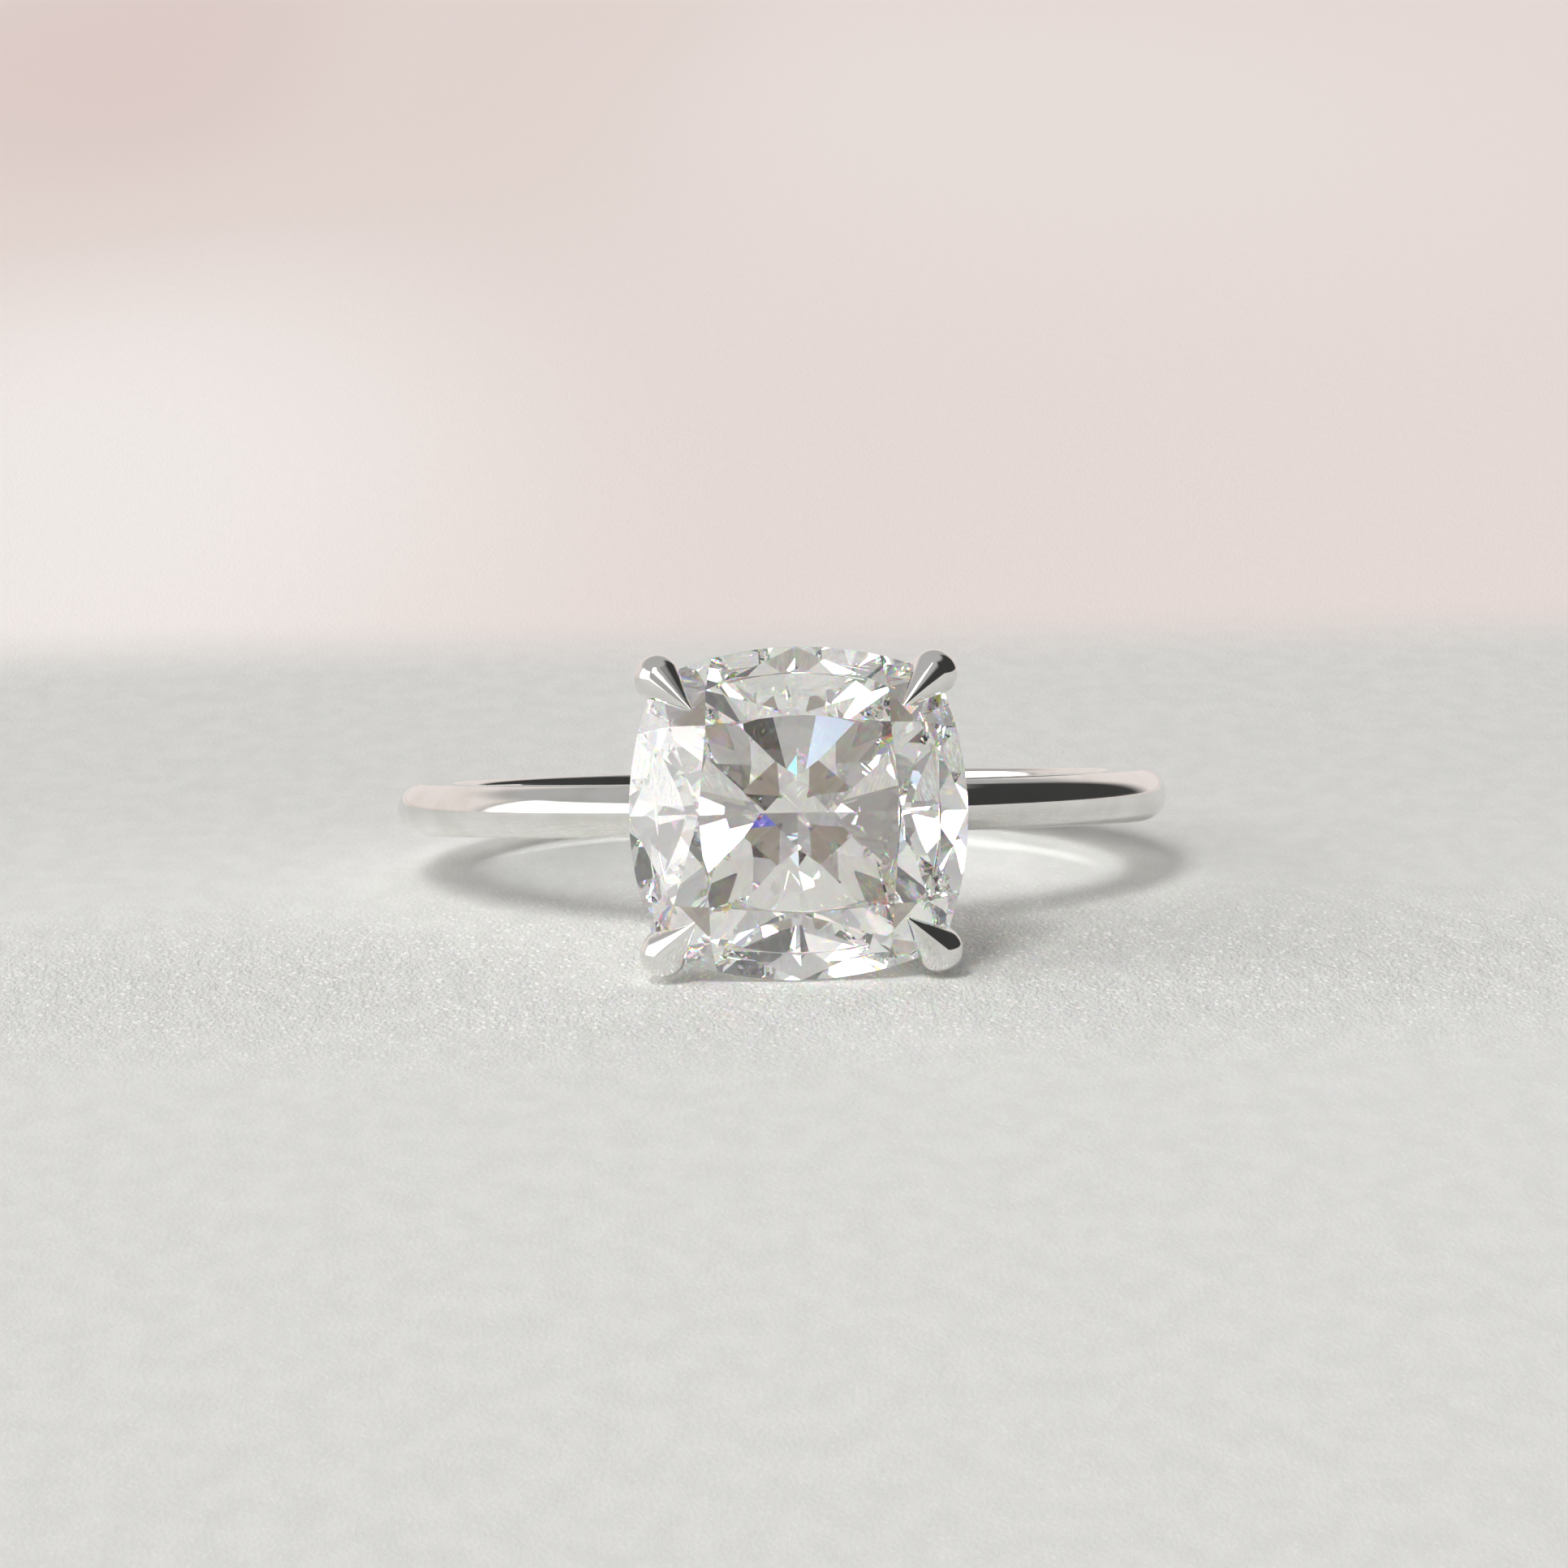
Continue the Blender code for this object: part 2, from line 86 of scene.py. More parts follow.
@dataclass(frozen=True)
class LyingPose:
    """Where the set-down ring lies, read from the frame's finger hole."""

    centre: Vector
    tilt: float

    @classmethod
    def from_record(cls, record: dict) -> "LyingPose":
        """Reads the pose.

        Args:
            record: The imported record.

        Returns:
            The pose of the ring's own frame.
        """
        hole = next(m for m in record["mounts"] if m["name"] == "finger_hole")
        return cls(Vector(hole["pos_m"]), math.atan2(hole["axis"][1], hole["axis"][2]))

    def ring(self) -> Matrix:
        """The matrix from the ring's frame, in millimetres, to the world."""
        turn = Matrix.Rotation(-self.tilt, 4, "X")
        return Matrix.Translation(self.centre) @ turn @ Matrix.Scale(MM, 4)

    def head(self) -> Matrix:
        """The matrix from the head's frame, in millimetres, to the world."""
        return self.ring() @ Matrix.Rotation(math.pi / 2, 4, "X")


class Graph:
    """A node tree that is built call by call."""

    def __init__(self, tree: bpy.types.NodeTree) -> None:
        """Empties the tree.

        Args:
            tree: The node tree of a material or a world.
        """
        self.tree = tree
        tree.nodes.clear()

    def add(self, kind: str, inputs: dict | None = None, **settings: object) -> bpy.types.Node:
        """Adds a node.

        Args:
            kind: The node's type name.
            inputs: Values or sockets for the node's inputs, by name or index.
            **settings: Properties of the node.

        Returns:
            The new node.
        """
        made = self.tree.nodes.new(kind)
        for name, value in settings.items():
            setattr(made, name, value)
        for key, value in (inputs or {}).items():
            if isinstance(value, bpy.types.NodeSocket):
                self.tree.links.new(value, made.inputs[key])
            else:
                made.inputs[key].default_value = value
        return made

    def maths(self, operation: str, *values: object) -> bpy.types.NodeSocket:
        """Adds a Math node.

        Args:
            operation: The sum to do.
            *values: Numbers or sockets.

        Returns:
            The node's result.
        """
        return self.add("ShaderNodeMath", dict(enumerate(values)), operation=operation).outputs[0]

    def ramp(
        self, value: object, low: float, high: float, to: tuple[float, float] = (0.0, 1.0)
    ) -> bpy.types.NodeSocket:
        """Adds a smooth step.

        Args:
            value: The socket to read.
            low: Where the step starts.
            high: Where the step ends.
            to: The result before and after the step.

        Returns:
            The node's result.
        """
        inputs = {
            "Value": value, "From Min": low, "From Max": high, "To Min": to[0], "To Max": to[1],
        }
        node = self.add("ShaderNodeMapRange", inputs, interpolation_type="SMOOTHSTEP")
        return node.outputs["Result"]

    def blend(self, share: object, first: object, second: object) -> bpy.types.NodeSocket:
        """Adds a colour mix.

        Args:
            share: How much of the second colour, from 0 to 1.
            first: A colour or a socket.
            second: A colour or a socket.

        Returns:
            The mixed colour.
        """
        node = self.add("ShaderNodeMix", data_type="RGBA")
        for key, value in ((0, share), (6, first), (7, second)):
            if isinstance(value, bpy.types.NodeSocket):
                self.tree.links.new(value, node.inputs[key])
            else:
                node.inputs[key].default_value = value
        return node.outputs[2]

    def noise(self, coordinates: object, scale: float, detail: float) -> bpy.types.NodeSocket:
        """Adds a noise texture.

        Args:
            coordinates: The coordinates to read.
            scale: Features per metre.
            detail: Octaves of finer noise.

        Returns:
            The noise's value.
        """
        inputs = {"Vector": coordinates, "Scale": scale, "Detail": detail}
        return self.add("ShaderNodeTexNoise", inputs).outputs["Fac"]


def new_material(name: str) -> tuple[bpy.types.Material, Graph]:
    """Makes a material with an empty node tree.

    Args:
        name: The material's name.

    Returns:
        The material, and its tree's graph.
    """
    material = bpy.data.materials.new(name)
    material.use_nodes = True
    return material, Graph(material.node_tree)


@dataclass(frozen=True)
class PolishedWhiteGold:
    """Rhodium-bright white gold: a mirror polish with faint buffing lines."""

    name: str = "polished_white_gold"
    bright: tuple = (0.87, 0.865, 0.85, 1.0)
    deep: tuple = (0.80, 0.785, 0.76, 1.0)
    polish: float = 0.035
    worn: float = 0.09
    lines_per_metre: float = 5200.0
    lines_detail: float = 4.0
    lines_stretch: tuple = (0.18, 1.0, 1.0)
    lines_turn: tuple = (0.3, 0.2, 0.9)
    lines_worn: tuple = (0.42, 0.78)
    lines_height: float = 0.3
    clouds_per_metre: float = 900.0
    clouds_detail: float = 3.0
    clouds_deep: tuple = (0.35, 0.7)
    relief: float = 0.06
    relief_height: float = 2e-5

    def material(self) -> bpy.types.Material:
        """Builds the finish.

        Returns:
            The material.
        """
        material, graph = new_material(self.name)
        place = graph.add("ShaderNodeTexCoord").outputs["Object"]
        clouds = graph.noise(place, self.clouds_per_metre, self.clouds_detail)
        drawn = {"Vector": place, "Scale": self.lines_stretch, "Rotation": self.lines_turn}
        stretched = graph.add("ShaderNodeMapping", drawn).outputs["Vector"]
        lines = graph.noise(stretched, self.lines_per_metre, self.lines_detail)
        colour = graph.blend(graph.ramp(clouds, *self.clouds_deep), self.bright, self.deep)
        rough = graph.ramp(lines, *self.lines_worn, (self.polish, self.worn))
        height = graph.maths("ADD", graph.maths("MULTIPLY", lines, self.lines_height), clouds)
        surface = {"Height": height, "Strength": self.relief, "Distance": self.relief_height}
        bump = graph.add("ShaderNodeBump", surface)
        shader = graph.add("ShaderNodeBsdfPrincipled", {
            "Base Color": colour, "Metallic": 1.0, "Roughness": rough,
            "Normal": bump.outputs["Normal"],
        })
        graph.add("ShaderNodeOutputMaterial", {"Surface": shader.outputs["BSDF"]})
        return material


@dataclass(frozen=True)
class Diamond:
    """Colourless diamond, whose rays part into colours as they leave the stone."""

    name: str = "colourless_diamond"
    clear: tuple = (1, 1, 1, 1)
    index: float = 2.417
    index_red: float = 2.400
    index_green: float = 2.417
    index_blue: float = 2.440

    def material(self) -> bpy.types.Material:
        """Builds the finish.

        Returns:
            The material.
        """
        material, graph = new_material(self.name)
        inside = graph.add("ShaderNodeNewGeometry").outputs["Backfacing"]
        red = self.bend(graph, (1, 0, 0, 1), self.index_red)
        green = self.bend(graph, (0, 1, 0, 1), self.index_green)
        blue = self.bend(graph, (0, 0, 1, 1), self.index_blue)
        pair = graph.add("ShaderNodeAddShader", {0: red, 1: green}).outputs[0]
        leaving = graph.add("ShaderNodeAddShader", {0: pair, 1: blue}).outputs[0]
        entering = self.bend(graph, self.clear, self.index)
        bent = graph.add("ShaderNodeMixShader", {0: inside, 1: entering, 2: leaving}).outputs[0]
        mirror = graph.add("ShaderNodeBsdfAnisotropic", {"Color": self.clear, "Roughness": 0.0})
        glance = graph.add("ShaderNodeFresnel", {"IOR": self.index}).outputs[0]
        whole = graph.add("ShaderNodeMixShader", {0: glance, 1: bent, 2: mirror.outputs[0]})
        graph.add("ShaderNodeOutputMaterial", {"Surface": whole.outputs[0]})
        return material

    def bend(self, graph: Graph, colour: tuple, index: float) -> bpy.types.NodeSocket:
        """Adds a clean refraction of one colour.

        Args:
            graph: The material's graph.
            colour: The light that it lets through.
            index: Its refractive index.

        Returns:
            The shader.
        """
        settings = {"Color": colour, "Roughness": 0.0, "IOR": index}
        return graph.add("ShaderNodeBsdfRefraction", settings).outputs[0]


def lay_down(name: str, bm: bmesh.types.BMesh, matrix: Matrix, crease: float) -> bpy.types.Object:
    """Makes an object of a bmesh, at rest where it belongs.

    Args:
        name: The piece's name.
        bm: The shape, in millimetres in its own frame. It is freed.
        matrix: From that frame to the world.
        crease: The angle in degrees from which an edge is sharp, or 0 for flat faces.

    Returns:
        The new piece.
    """
    mesh = bpy.data.meshes.new(name)
    bm.to_mesh(mesh)
    bm.free()
    mesh.transform(matrix)
    if crease:
        mesh.shade_smooth()
        mesh.set_sharp_from_angle(angle=math.radians(crease))
    piece = bpy.data.objects.new(name, mesh)
    bpy.context.scene.collection.objects.link(piece)
    return piece


def carve(
    bm: bmesh.types.BMesh, cutters: list[bmesh.types.BMesh],
    joined: tuple[bmesh.types.BMesh, ...] = (),
) -> bmesh.types.BMesh:
    """Joins solids to another, then cuts solids out of it.

    Args:
        bm: The solid to work on. It is freed.
        cutters: The solids to take away. They are freed.
        joined: The solids to add first. They are freed.

    Returns:
        What is left.
    """
    target = lay_down("blank", bm, Matrix.Identity(4), 0)
    guides = [lay_down("guide", guide, Matrix.Identity(4), 0) for guide in (*joined, *cutters)]
    for index, guide in enumerate(guides):
        step = target.modifiers.new("step", "BOOLEAN")
        step.operation = "UNION" if index < len(joined) else "DIFFERENCE"
        step.solver = "EXACT"
        step.object = guide
    left = bmesh.new()
    left.from_object(target, bpy.context.evaluated_depsgraph_get())
    for thing in (target, *guides):
        bpy.data.objects.remove(thing)
    return left


def turned(profile: list[tuple[float, float]], steps: int) -> bmesh.types.BMesh:
    """Turns a closed section once about Z.

    Args:
        profile: Points of radius and height, in order round the section.
        steps: Steps in the full turn.

    Returns:
        The turned solid.
    """
    bm = bmesh.new()
    outline = [bm.verts.new((radius, 0, height)) for radius, height in profile]
    edges = [bm.edges.new(pair) for pair in zip(outline, outline[1:] + outline[:1])]
    bmesh.ops.spin(
        bm, geom=outline + edges, cent=(0, 0, 0), axis=(0, 0, 1), angle=math.tau,
        steps=steps, use_merge=True,
    )
    bmesh.ops.recalc_face_normals(bm, faces=bm.faces)
    return bm


def post(radius: float, bottom: float, top: float, sides: int = 96) -> bmesh.types.BMesh:
    """Makes a round post about Z.

    Args:
        radius: Its radius.
        bottom: The height of its lower end.
        top: The height of its upper end.
        sides: Sides round it.

    Returns:
        The post.
    """
    bm = bmesh.new()
    bmesh.ops.create_cone(
        bm, cap_ends=True, segments=sides, radius1=radius, radius2=radius,
        depth=top - bottom, matrix=Matrix.Translation((0, 0, (bottom + top) / 2)),
    )
    return bm


def round_rim(bm: bmesh.types.BMesh, height: float, width: float, segments: int = 6) -> None:
    """Rounds the rim of a turned piece.

    Args:
        bm: The piece.
        height: The rim's height.
        width: How far the rounding reaches.
        segments: Steps across the rounding.
    """
    rim = [e for e in bm.edges if all(abs(v.co.z - height) < MERGE for v in e.verts)]
    bmesh.ops.bevel(
        bm, geom=rim, offset=width, segments=segments, profile=0.5, affect="EDGES", material=-1,
    )


def swept_wire(
    stations: list[tuple[Vector, float]], across: Vector, sides: int, closed: bool = False
) -> bmesh.types.BMesh:
    """Sweeps a round wire along a flat curve.

    Args:
        stations: Centre points and radii along the curve.
        across: The normal of the curve's plane.
        sides: Sides of the wire.
        closed: Whether the curve closes into a ring.

    Returns:
        The wire, closed at its ends.
    """
    bm = bmesh.new()
    loops = []
    last = len(stations) - 1
    for index, (centre, radius) in enumerate(stations):
        ahead = stations[(index + 1) % len(stations) if closed else min(index + 1, last)][0]
        behind = stations[index - 1 if closed else max(index - 1, 0)][0]
        heading = (ahead - behind).normalized()
        turn = Matrix((across, heading.cross(across), heading)).transposed().to_4x4()
        ring = bmesh.ops.create_circle(
            bm, segments=sides, radius=radius, matrix=Matrix.Translation(centre) @ turn
        )
        edges = [edge for vert in ring["verts"] for edge in vert.link_edges]
        loops.append(list(dict.fromkeys(edges)))
    pairs = list(zip(loops, loops[1:]))
    if closed:
        pairs.append((loops[-1], loops[0]))
    for near, far in pairs:
        bmesh.ops.bridge_loops(bm, edges=near + far)
    if not closed:
        for end in (loops[0], loops[-1]):
            bmesh.ops.holes_fill(bm, edges=end, sides=0)
    bmesh.ops.recalc_face_normals(bm, faces=bm.faces)
    return bm


def bezier(points: list[tuple[float, float]], t: float) -> Vector:
    """Finds a point on a cubic Bezier curve.

    Args:
        points: The curve's two ends and, between them, its two handles.
        t: How far along, from 0 to 1.

    Returns:
        The point.
    """
    a, b, c, d = (Vector(p) for p in points)
    s = 1 - t
    return a * s**3 + b * 3 * s**2 * t + c * 3 * s * t**2 + d * t**3


@dataclass
class Band:
    """The shank: a slim band, half-round outside, flat at its sides."""

    hole: float = 16.9
    width: float = 1.3
    thickness: float = 1.5
    dome_rise: float = 0.5
    inner_round: float = 0.15
    edge_round: float = 0.035
    dome_steps: int = 28
    inner_steps: int = 8
    turn_steps: int = 480
    peg_hole: float = 0.7

    @property
    def crown_line(self) -> float:
        """The band's outer radius."""
        return self.hole / 2 + self.thickness

    def section(self, grow: float = 0.0) -> list[tuple[float, float]]:
        """Draws the band's section.

        Args:
            grow: How far every side is set outward.

        Returns:
            Points of radius and height.
        """
        half = self.width / 2 + grow
        inner = self.hole / 2 - grow
        outer = self.crown_line + grow
        dome = (half**2 + self.dome_rise**2) / (2 * self.dome_rise)
        sweep = math.asin(half / dome)
        points = []
        for step in range(self.dome_steps + 1):
            angle = sweep * (1 - 2 * step / self.dome_steps)
            points.append((outer - dome * (1 - math.cos(angle)), dome * math.sin(angle)))
        points[0] = (points[0][0], half - self.edge_round)
        points[-1] = (points[-1][0], self.edge_round - half)
        side = outer - self.dome_rise - self.edge_round
        lower = []
        for step in range(self.inner_steps + 1):
            angle = math.pi / 2 * step / self.inner_steps
            away = self.inner_round * (1 - math.sin(angle))
            lower.append((inner + away, self.inner_round * (1 - math.cos(angle)) - half))
        upper = [(radius, -height) for radius, height in reversed(lower)]
        return points + [(side, -half)] + lower + upper + [(side, half)]

    def build(self, pose: LyingPose, finish: bpy.types.Material) -> bpy.types.Object:
        """Builds the band.

        Args:
            pose: Where the ring lies.
            finish: Its metal.

        Returns:
            The finished piece.
        """
        bottom, top = self.hole / 2 - CUT_THROUGH, self.crown_line + CUT_THROUGH
        hole = post(self.peg_hole / 2 + TOUCH_GAP, bottom, top)
        hole.transform(Matrix.Rotation(math.pi / 2, 4, "X"))
        bm = carve(turned(self.section(), self.turn_steps), [hole])
        piece = lay_down("band", bm, pose.ring(), ROUND_CREASE)
        return dress(piece, finish, "shank")


@dataclass
class Cushion:
    """The centre stone: a cushion brilliant with four corner mains."""

    width: float = 8.2
    length: float = 8.06
    side_bow: float = 8.4
    corner_round: float = 1.2
    table_width: float = 4.9
    table_corner: float = 3.15
    crown: float = 1.15
    girdle: float = 0.26
    pavilion: float = 4.05
    culet_reach: float = 1.3
    culet_slope: float = math.radians(37)
    star_share: float = 0.38
    halves: float = math.radians(28)
    ridge_start: float = 0.73
    girdle_row: float = 0.7
    girdle_steps: int = 192
    blank_margin: float = 1.0
    seat: float = 14.65

    def outline(self, azimuth: float, height: float = 0.0, grow: float = 0.0) -> Vector:
        """Finds the girdle in a direction.

        Args:
            azimuth: The direction about the stone's axis.
            height: The height to give the point.
            grow: How far the outline is set outward.

        Returns:
            The point on the bowed side or the rounded corner.
        """
        bow = self.side_bow + grow
        corner = self.corner_round + grow
        offset = bow - self.width / 2 - grow
        diagonal = (-offset + math.sqrt(2 * (bow - corner) ** 2 - offset**2)) / 2
        touch = Vector((diagonal + offset, diagonal)).normalized() * bow - Vector((offset, 0))
        octant = azimuth % (math.pi / 2)
        folded = min(octant, math.pi / 2 - octant)
        heading = Vector((math.cos(folded), math.sin(folded)))
        centre, radius = Vector((diagonal, diagonal)), corner
        if folded < math.atan2(touch.y, touch.x):
            centre, radius = Vector((-offset, 0)), bow
        along = heading.dot(centre)
        reach = along + math.sqrt(along**2 + radius**2 - centre.length_squared)
        return self.spot(azimuth, reach, height)

    def spot(self, azimuth: float, radius: float, height: float) -> Vector:
        """A point in a direction, drawn in along the finger as the stone is."""
        squash = self.length / self.width
        return Vector((radius * math.cos(azimuth), radius * math.sin(azimuth) * squash, height))

    @property
    def corner_reach(self) -> float:
        """The girdle's corner, from the stone's axis."""
        return self.outline(math.pi / 4).length

    def crown_height(self, distance: float) -> float:
        """The crown's height above the girdle on the diagonal, at a distance from the axis."""
        slope = self.crown / (self.corner_reach - self.table_corner)
        return self.girdle + (self.corner_reach - distance) * slope

    def facet(self, a: Vector, b: Vector, c: Vector) -> tuple[Vector, Vector]:
        """Finds the plane through three points.

        Args:
            a: The first point.
            b: The second.
            c: The third.

        Returns:
            A point of the plane, and its normal away from the stone's middle.
        """
        normal = (b - a).cross(c - a).normalized()
        outward = (a + b + c) / 3 - Vector((0, 0, self.girdle / 2))
        return a, normal if normal.dot(outward) > 0 else -normal

    def corner_heading(self, azimuth: float) -> Vector:
        """The outline's direction at a corner."""
        step = math.radians(1)
        return self.outline(azimuth + step) - self.outline(azimuth - step)

    @staticmethod
    def ridge(first: tuple[Vector, Vector], second: tuple[Vector, Vector], height: float) -> Vector:
        """Finds where the ridge between two facets reaches a height.

        Args:
            first: One facet's point and normal.
            second: The other's.
            height: The height.

        Returns:
            The point on the ridge.
        """
        system = Matrix((first[1], second[1], Vector((0, 0, 1)))).inverted()
        return system @ Vector((first[0].dot(first[1]), second[0].dot(second[1]), height))

    def crown_facets(self, axis: float, side: int) -> list[tuple[Vector, Vector]]:
        """Places one eighth of the crown: bezels, star and girdle facets.

        Args:
            axis: The direction of the side facet.
            side: 1 or -1, the side of it.

        Returns:
            The facets' planes.
        """
        table = self.girdle + self.crown
        corner = axis + side * math.pi / 4
        side_low = self.outline(axis, self.girdle)
        side_top = self.spot(axis, self.table_width / 2, table)
        corner_low = self.outline(corner, self.girdle)
        corner_top = self.spot(corner, self.table_corner, table)
        halves_low = self.outline(axis + side * self.halves, self.girdle)
        along_side = self.spot(axis + math.pi / 2, 1, 0)
        side_bezel = self.facet(side_low, side_top, side_low + along_side)
        corner_bezel = self.facet(corner_low, corner_top, corner_low + self.corner_heading(corner))
        star_low = self.ridge(side_bezel, corner_bezel, table - self.star_share * self.crown)
        return [
            side_bezel,
            corner_bezel,
            self.facet(side_top, corner_top, star_low),
            self.facet(side_low, halves_low, star_low),
            self.facet(halves_low, corner_low, star_low),
        ]

    def pavilion_facets(self, axis: float, side: int) -> list[tuple[Vector, Vector]]:
        """Places one eighth of the pavilion: main, paired side, girdle and culet facets.

        Args:
            axis: The direction of the ridge between the paired facets.
            side: 1 or -1, the side of it.

        Returns:
            The facets' planes.
        """
        corner = axis + side * math.pi / 4
        culet = Vector((0, 0, -self.pavilion))
        corner_high = self.outline(corner)
        side_high = self.outline(axis)
        halves_high = self.outline(axis + side * self.halves)
        main = self.facet(culet, corner_high, corner_high + self.corner_heading(corner))
        start = side_high.normalized() * self.ridge_start
        start.z = culet.z - start.dot(main[1]) / main[1].z
        paired = self.facet(start, side_high, halves_high)
        row = self.ridge(main, paired, -self.pavilion * (1 - self.girdle_row))
        return [main, paired, self.facet(row, halves_high, corner_high), self.culet_facet(corner)]

    def culet_facet(self, corner: float) -> tuple[Vector, Vector]:
        """Places the shallow facet beside the culet, below a corner's main facet.

        Args:
            corner: The corner's direction.

        Returns:
            The facet's plane.
        """
        start = Vector((math.cos(corner), math.sin(corner), 0)) * self.culet_reach
        start.z = -self.pavilion * (1 - self.culet_reach / self.corner_reach)
        outward = start.xy.normalized() * math.sin(self.culet_slope)
        return start, outward.to_3d() - Vector((0, 0, math.cos(self.culet_slope)))

    def facets(self) -> list[tuple[Vector, Vector]]:
        """Places every facet.

        Returns:
            The facets' planes, table first.
        """
        planes = [(Vector((0, 0, self.girdle + self.crown)), Vector((0, 0, 1)))]
        for quadrant in range(4):
            for side in (-1, 1):
                axis = quadrant * math.pi / 2
                planes += self.crown_facets(axis, side)
                planes += self.pavilion_facets(axis, side)
        return planes

    def cut(self, grow: float = 0.0) -> bmesh.types.BMesh:
        """Cuts the stone facet by facet from a girdled blank.

        Args:
            grow: How far every facet is set outward.

        Returns:
            The stone, in the head's frame.
        """
        bm = bmesh.new()
        bottom = -self.pavilion - self.blank_margin
        blank = bmesh.ops.create_circle(bm, cap_ends=True, segments=self.girdle_steps, radius=1)
        for vert in blank["verts"]:
            vert.co = self.outline(math.atan2(vert.co.y, vert.co.x), bottom, grow)
        grown = bmesh.ops.extrude_face_region(bm, geom=bm.faces[:])["geom"]
        moved = [v for v in grown if isinstance(v, bmesh.types.BMVert)]
        height = self.pavilion + self.girdle + self.crown + 2 * self.blank_margin
        bmesh.ops.translate(bm, verts=moved, vec=(0, 0, height))
        for point, normal in self.facets():
            bmesh.ops.bisect_plane(
                bm, geom=bm.verts[:] + bm.edges[:] + bm.faces[:], dist=CUT_TOLERANCE,
                plane_co=point + normal * grow, plane_no=normal, clear_outer=True,
            )
            bmesh.ops.holes_fill(bm, edges=[e for e in bm.edges if e.is_boundary], sides=0)
        bmesh.ops.remove_doubles(bm, verts=bm.verts, dist=MERGE)
        bmesh.ops.recalc_face_normals(bm, faces=bm.faces)
        bmesh.ops.translate(bm, verts=bm.verts, vec=(0, 0, self.seat))
        return bm

    def build(self, pose: LyingPose, finish: bpy.types.Material) -> bpy.types.Object:
        """Builds the stone.

        Args:
            pose: Where the ring lies.
            finish: Its material.

        Returns:
            The finished piece.
        """
        piece = lay_down("cushion_diamond", self.cut(), pose.head(), 0)
        return dress(piece, finish, "centre_stone")


@dataclass
class Claw:
    """One claw: round wire that swells to a ball and is filed to a teardrop on the crown."""

    stone: Cushion
    foot_height: float
    stem: float = 0.86
    ball: float = 1.13
    point: float = 0.08
    foot_radius: float = 1.5
    bite: float = 0.48
    ball_drop: float = 0.06
    overhang: float = 1.0
    point_lift: float = 0.02
    lean_share: float = 0.3
    upright_share: float = 0.6
    upright_inset: float = 0.12
    sides: int = 64
    stem_steps: int = 48

    @property
    def girdle_top(self) -> float:
        """The height of the girdle's upper edge."""
        return self.stone.seat + self.stone.girdle

    @property
    def ball_centre(self) -> Vector:
        """The middle of the swollen end: its radius and its height."""
        spread = self.stone.corner_reach + self.ball / 2 - self.bite
        return Vector((spread, self.girdle_top - self.ball_drop))

    @property
    def point_centre(self) -> Vector:
        """The middle of the drawn-out point: its radius and its height."""
        reach = self.stone.corner_reach - self.overhang
        return Vector((reach, self.stone.seat + self.stone.crown_height(reach) + self.point_lift))

    def path(self) -> list[tuple[Vector, float]]:
        """Draws the stem.

        Returns:
            Its centre points (radius, height) and its radii, from the foot to the ball.
        """
        end = self.ball_centre
        rise = end.y - self.foot_height
        lean = self.lean_share * (end.x - self.foot_radius)
        curve = [
            (self.foot_radius, self.foot_height),
            (self.foot_radius + lean, self.foot_height + self.lean_share * rise),
            (end.x - self.upright_inset, self.foot_height + self.upright_share * rise),
            (end.x, end.y),
        ]
        points = []
        for step in range(self.stem_steps + 1):
            t = step / self.stem_steps
            swell = t * t * (3 - 2 * t)
            points.append((bezier(curve, t), (self.stem + swell * (self.ball - self.stem)) / 2))
        return points

    def inner_face(self, height: float) -> float:
        """Finds the stem's inner side.

        Args:
            height: A height on the stem.

        Returns:
            Its distance from the head's axis.
        """
        path = self.path()
        for (low, low_radius), (high, high_radius) in zip(path, path[1:]):
            if low.y <= height <= high.y:
                share = (height - low.y) / (high.y - low.y)
                radius = low_radius + share * (high_radius - low_radius)
                return low.lerp(high, share).x - radius / (high - low).normalized().y
        return path[0][0].x

    def wire(self, corner: Corner, grow: float = 0.0) -> bmesh.types.BMesh:
        """Sweeps the claw's stem at a corner.

        Args:
            corner: Where the claw stands.
            grow: How far its sides and its foot are set outward.

        Returns:
            The stem, in the head's frame.
        """
        stations = [(Vector((c.x, 0, c.y)), radius + grow) for c, radius in self.path()]
        foot, foot_radius = stations[0]
        upward = (stations[1][0] - foot).normalized()
        stations[0] = (foot - upward * grow, foot_radius)
        bm = swept_wire(stations, Vector((0, 1, 0)), self.sides)
        bmesh.ops.rotate(bm, verts=bm.verts, matrix=Matrix.Rotation(corner.azimuth, 3, "Z"))
        return bm

    def teardrop(self, corner: Corner) -> bmesh.types.BMesh:
        """Draws the ball out to the point on the crown.

        Args:
            corner: Where the claw stands.

        Returns:
            The teardrop, in the head's frame.
        """
        ball, point = self.ball_centre, self.point_centre
        lean = Vector((point.x - ball.x, 0, point.y - ball.y)).to_track_quat("Z", "X").to_matrix()
        bm = bmesh.new()
        for centre, size in ((ball, self.ball), (point, self.point)):
            place = Matrix.Translation((centre.x, 0, centre.y)) @ lean.to_4x4()
            bmesh.ops.create_uvsphere(
                bm, u_segments=self.sides, v_segments=self.sides // 2, radius=size / 2,
                matrix=place,
            )
        bmesh.ops.delete(bm, geom=bm.edges[:], context="EDGES_FACES")
        hull = bmesh.ops.convex_hull(bm, input=bm.verts)
        left_over = dict.fromkeys(hull["geom_interior"] + hull["geom_unused"])
        inside = [thing for thing in left_over if isinstance(thing, bmesh.types.BMVert)]
        bmesh.ops.delete(bm, geom=inside, context="VERTS")
        bmesh.ops.recalc_face_normals(bm, faces=bm.faces)
        bmesh.ops.rotate(bm, verts=bm.verts, matrix=Matrix.Rotation(corner.azimuth, 3, "Z"))
        return bm

